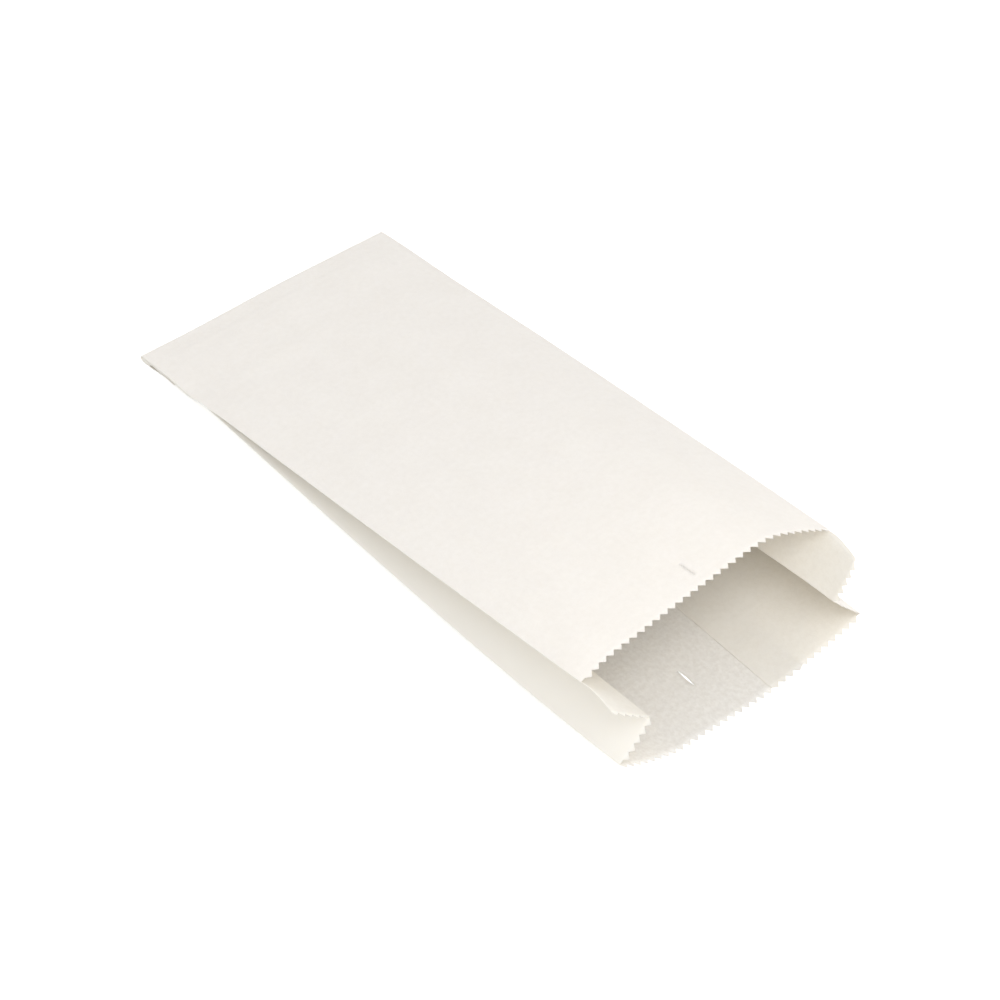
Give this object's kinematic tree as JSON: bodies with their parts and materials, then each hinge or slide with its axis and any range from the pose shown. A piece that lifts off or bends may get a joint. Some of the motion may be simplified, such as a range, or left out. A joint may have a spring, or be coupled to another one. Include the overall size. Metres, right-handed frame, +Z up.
{
  "type": "gusseted paper bag",
  "caption": "Flat white paper bag with side gussets, a serrated mouth that stands open and a folded, glued bottom, lying on its back panel.",
  "frame": {"origin": "centre of the bag's outline on the surface that it lies on", "axes": "+X across the bag, +Y along it towards the closed bottom fold, -Y out of the mouth, +Z up"},
  "size_m": [0.116, 0.277, 0.0486],
  "materials": {
    "white_paper": "matt machine-glazed white paper"
  },
  "bodies": {
    "root": {"paper_bag": "white_paper"}
  },
  "joints": []
}
